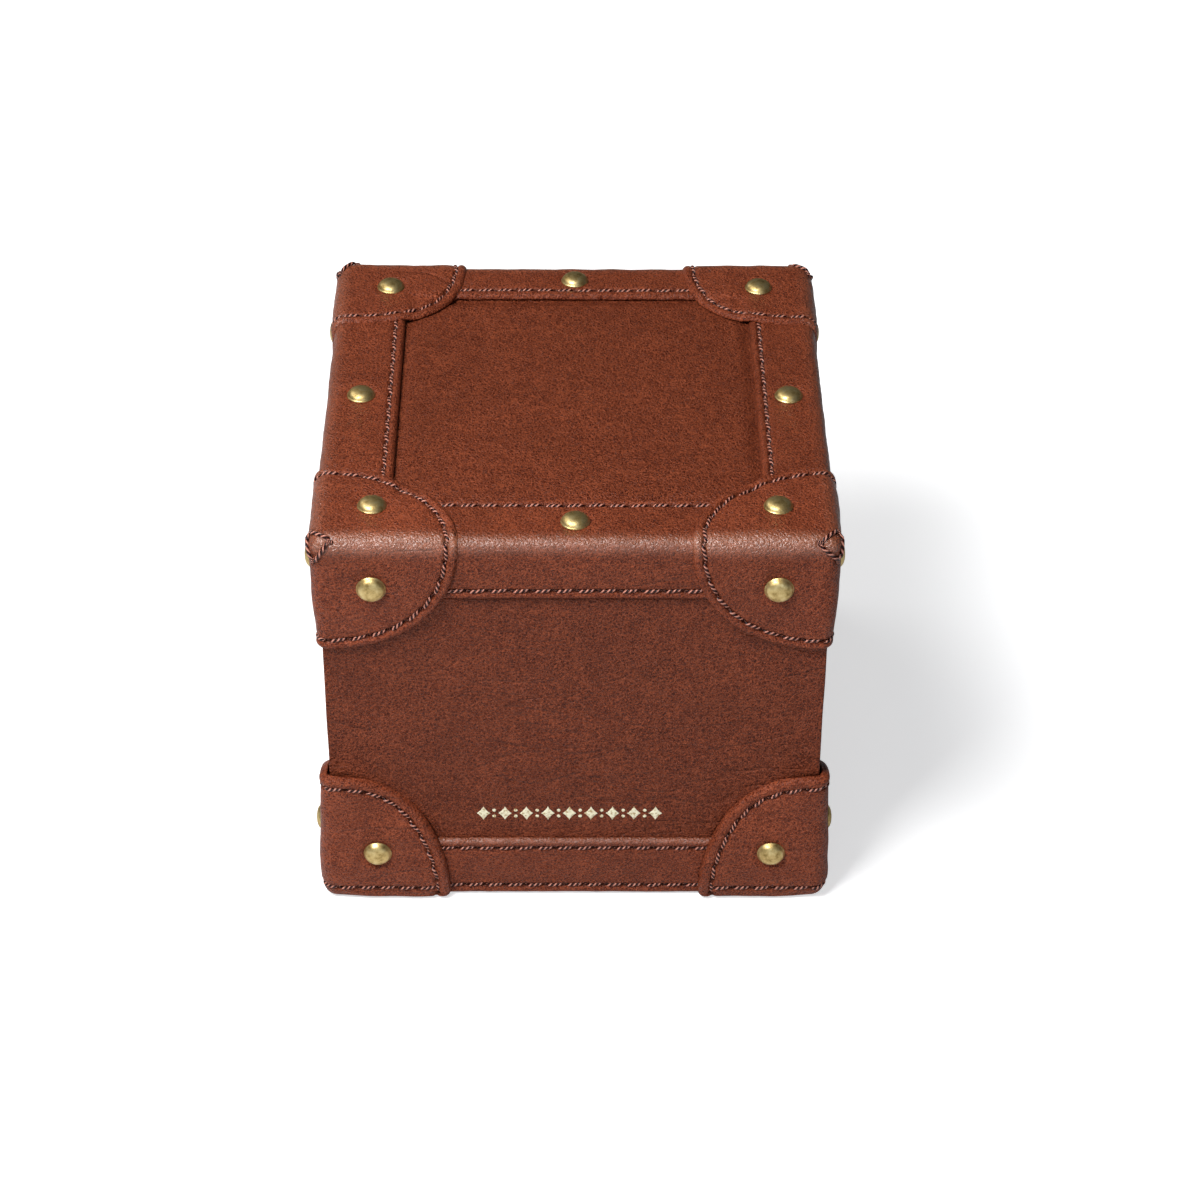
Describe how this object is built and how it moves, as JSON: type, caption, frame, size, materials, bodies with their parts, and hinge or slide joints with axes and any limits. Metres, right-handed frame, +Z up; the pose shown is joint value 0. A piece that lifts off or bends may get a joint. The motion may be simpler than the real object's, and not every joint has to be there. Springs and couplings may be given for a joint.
{
  "type": "pocket watch display box",
  "caption": "Small square leather-covered chest with a lift-off lid, stitched bindings, riveted corner caps and a lift-out tray with a watch recess.",
  "frame": {"origin": "centre of the foot, where the case rests", "axes": "+Z up, -Y towards the front face, +X to the right of someone who faces the front"},
  "size_m": [0.1038, 0.105, 0.0898],
  "materials": {
    "cover_leather": "fine-grain vegetable-tanned leather, satin",
    "trim_leather": "fine-grain vegetable-tanned leather, burnished",
    "brass": "antiqued, lightly brushed",
    "board": "pressed fibreboard",
    "suede": "microfibre suede, short nap",
    "foot_cover": "felt",
    "ribbon": "grosgrain"
  },
  "bodies": {
    "base": {"base_cover": "foot_cover", "base_board": "board", "wall_board_front": "board", "wall_board_back": "board", "wall_board_left": "board", "wall_board_right": "board", "body_leather": "cover_leather", "liner_front": "suede", "liner_back": "suede", "liner_left": "suede", "liner_right": "suede", "floor_pad": "suede", "tray_rest_left": "suede", "tray_rest_right": "suede", "base_binding_front": "trim_leather", "base_binding_back": "trim_leather", "base_binding_left": "trim_leather", "base_binding_right": "trim_leather", "base_corner_fl": "trim_leather", "base_corner_fr": "trim_leather", "base_corner_bl": "trim_leather", "base_corner_br": "trim_leather", "base_rivets": "brass"},
    "tray": {"tray_board": "suede", "watch_cushion": "suede", "recess_pad": "suede", "ribbon_tab": "ribbon"},
    "lid": {"lid_board": "board", "lid_rim_front": "board", "lid_rim_back": "board", "lid_rim_left": "board", "lid_rim_right": "board", "lid_leather": "cover_leather", "lid_lining_top": "suede", "lid_lining_rim": "suede", "lid_binding_front": "trim_leather", "lid_binding_back": "trim_leather", "lid_binding_left": "trim_leather", "lid_binding_right": "trim_leather", "lid_corner_fl": "trim_leather", "lid_corner_fr": "trim_leather", "lid_corner_bl": "trim_leather", "lid_corner_br": "trim_leather", "lid_edge_rivets": "brass", "lid_corner_rivets": "brass"}
  },
  "joints": [
    {"name": "lid_lift", "type": "slide", "parent": "base", "child": "lid", "axis": [0, 0, 1], "range_m": [0, 0.09]},
    {"name": "tray_lift", "type": "slide", "parent": "base", "child": "tray", "axis": [0, 0, 1], "range_m": [0, 0.037]}
  ],
  "couplings": [
    {"joint": "tray_lift", "follows": "lid_lift", "ratio": 0.4}
  ]
}
